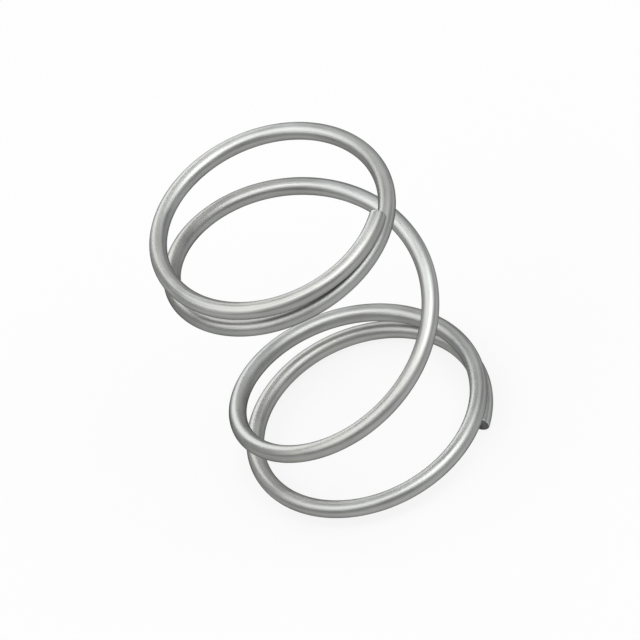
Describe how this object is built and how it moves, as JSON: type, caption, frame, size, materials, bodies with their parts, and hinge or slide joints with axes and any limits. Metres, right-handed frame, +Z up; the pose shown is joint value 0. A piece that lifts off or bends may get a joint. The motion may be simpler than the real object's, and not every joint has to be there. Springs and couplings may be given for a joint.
{
  "type": "compression spring",
  "caption": "Helical compression spring of round steel wire with closed, unground ends and widely spaced middle turns, which pushes back when squeezed along its axis.",
  "frame": {"origin": "on the axis of the coil, level with the underside of its lowest turn", "axes": "+Z up the axis of the coil, which stands on its lower end; both cut ends of the wire lie on the +X side, and the wire climbs anticlockwise seen from above"},
  "size_m": [0.0228, 0.0228, 0.0317],
  "materials": {
    "spring_wire": "bright drawn spring wire, satin grey with fine die lines along the wire"
  },
  "bodies": {
    "root": {"spring": "spring_wire"}
  },
  "joints": []
}
